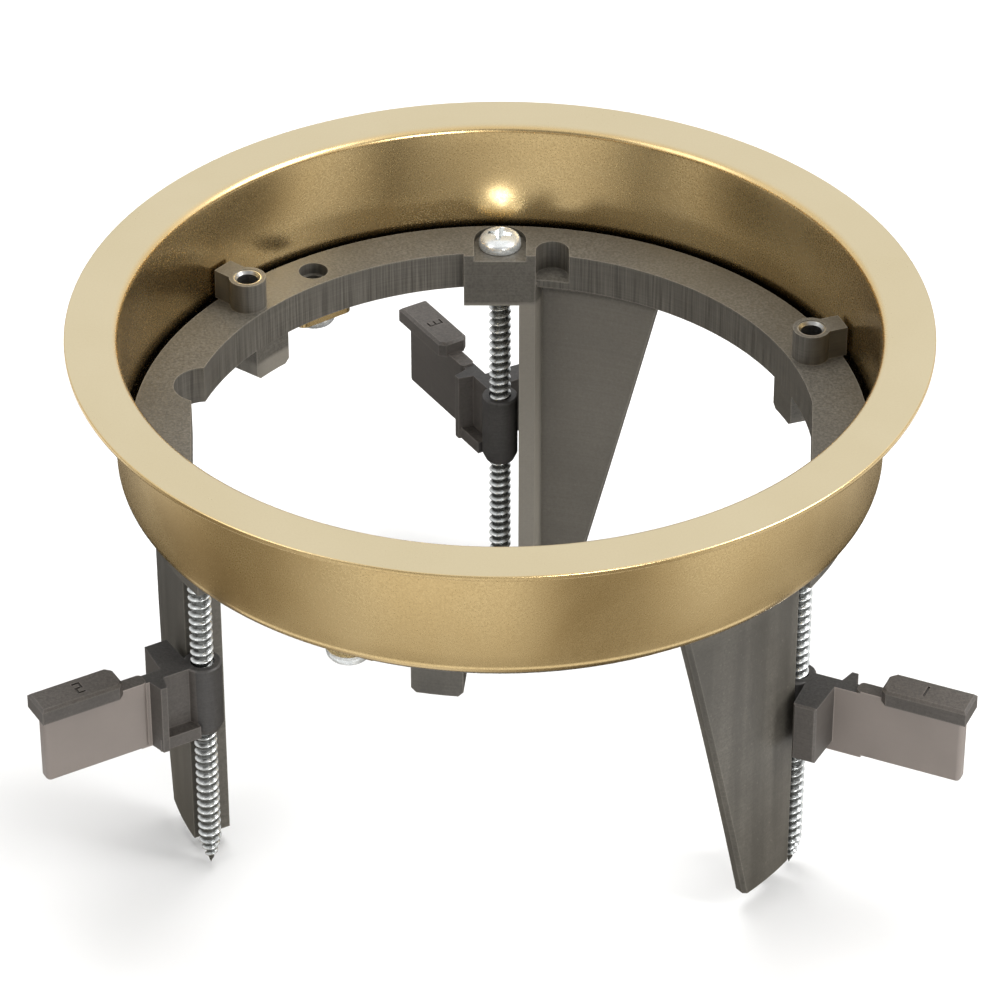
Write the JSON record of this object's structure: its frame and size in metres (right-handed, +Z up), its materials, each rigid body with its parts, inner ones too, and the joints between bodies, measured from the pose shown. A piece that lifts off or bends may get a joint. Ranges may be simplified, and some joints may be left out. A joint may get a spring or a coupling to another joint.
{
  "type": "floor flange",
  "caption": "Round brass-finish floor flange with a three-legged plastic bracket; screw-driven arms swing out and clamp it to the floor from below.",
  "frame": {"origin": "on the ring's axis, in the plane of the flange's flat top face", "axes": "+Z up along the ring's axis, out of the flange's top face; +X to the right and -Y towards the viewer, so clamp station 3 is at +Y and stations 1 and 2 are at 330 and 210 degrees anticlockwise from +X"},
  "size_m": [0.1653, 0.1658, 0.0971],
  "materials": {
    "brass_sheet": "satin, finely brushed",
    "dark_plastic": "moulded, faint flow lines",
    "arm_plastic": "moulded, slightly worn",
    "zinc_steel": "bright zinc",
    "insert_metal": "bright machined"
  },
  "bodies": {
    "frame": {"trim_ring": "brass_sheet", "mounting_bracket": "dark_plastic", "ring_screw_1": "zinc_steel", "ring_screw_2": "zinc_steel", "ring_screw_3": "zinc_steel", "boss_insert_1": "insert_metal", "boss_insert_2": "insert_metal", "boss_insert_3": "insert_metal"},
    "swing_1": {"clamp_screw_1": "zinc_steel"},
    "arm_1": {"clamp_arm_1": "arm_plastic"},
    "swing_2": {"clamp_screw_2": "zinc_steel"},
    "arm_2": {"clamp_arm_2": "arm_plastic"},
    "swing_3": {"clamp_screw_3": "zinc_steel"},
    "arm_3": {"clamp_arm_3": "arm_plastic"}
  },
  "joints": [
    {"name": "swing_1_turn", "type": "hinge", "parent": "frame", "child": "swing_1", "pos_m": [0.05239, -0.03025, -0.03], "axis": [0, 0, 1], "range_deg": [-16, 98]},
    {"name": "arm_1_travel", "type": "slide", "parent": "swing_1", "child": "arm_1", "axis": [0, 0, 1], "range_m": [-0.024, 0.0158]},
    {"name": "swing_2_turn", "type": "hinge", "parent": "frame", "child": "swing_2", "pos_m": [-0.05239, -0.03025, -0.03], "axis": [0, 0, 1], "range_deg": [-10, 104]},
    {"name": "arm_2_travel", "type": "slide", "parent": "swing_2", "child": "arm_2", "axis": [0, 0, 1], "range_m": [-0.0265, 0.0133]},
    {"name": "swing_3_turn", "type": "hinge", "parent": "frame", "child": "swing_3", "pos_m": [0, 0.0605, -0.03], "axis": [0, 0, 1], "range_deg": [-42, 72]},
    {"name": "arm_3_travel", "type": "slide", "parent": "swing_3", "child": "arm_3", "axis": [0, 0, 1], "range_m": [-0.0222, 0.0176]}
  ]
}
